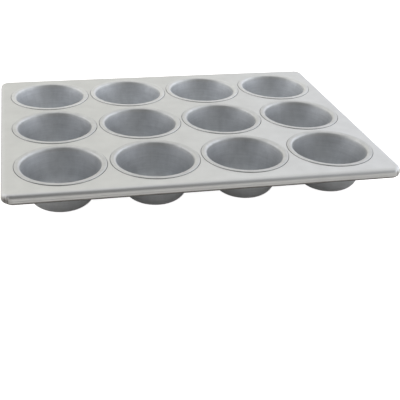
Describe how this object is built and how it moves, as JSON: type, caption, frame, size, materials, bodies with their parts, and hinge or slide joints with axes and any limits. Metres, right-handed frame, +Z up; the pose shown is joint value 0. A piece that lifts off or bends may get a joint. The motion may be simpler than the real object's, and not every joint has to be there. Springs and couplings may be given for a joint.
{
  "type": "muffin pan",
  "caption": "Rectangular muffin pan with wide round cups locked by folded seams into a flat sheet frame, whose edge is rolled round a wire.",
  "frame": {"origin": "centre of the pan in plan, on the plane that the cup floors stand on", "axes": "+X along a row of four cups, +Y towards the back row, +Z up"},
  "size_m": [0.45, 0.351, 0.0474],
  "materials": {
    "frame_sheet": "satin",
    "cup_sheet": "satin",
    "rim_wire": "drawn"
  },
  "bodies": {
    "root": {"frame": "frame_sheet", "rim_wire": "rim_wire", "cup_front_1": "cup_sheet", "cup_front_2": "cup_sheet", "cup_front_3": "cup_sheet", "cup_front_4": "cup_sheet", "cup_middle_1": "cup_sheet", "cup_middle_2": "cup_sheet", "cup_middle_3": "cup_sheet", "cup_middle_4": "cup_sheet", "cup_back_1": "cup_sheet", "cup_back_2": "cup_sheet", "cup_back_3": "cup_sheet", "cup_back_4": "cup_sheet"}
  },
  "joints": []
}
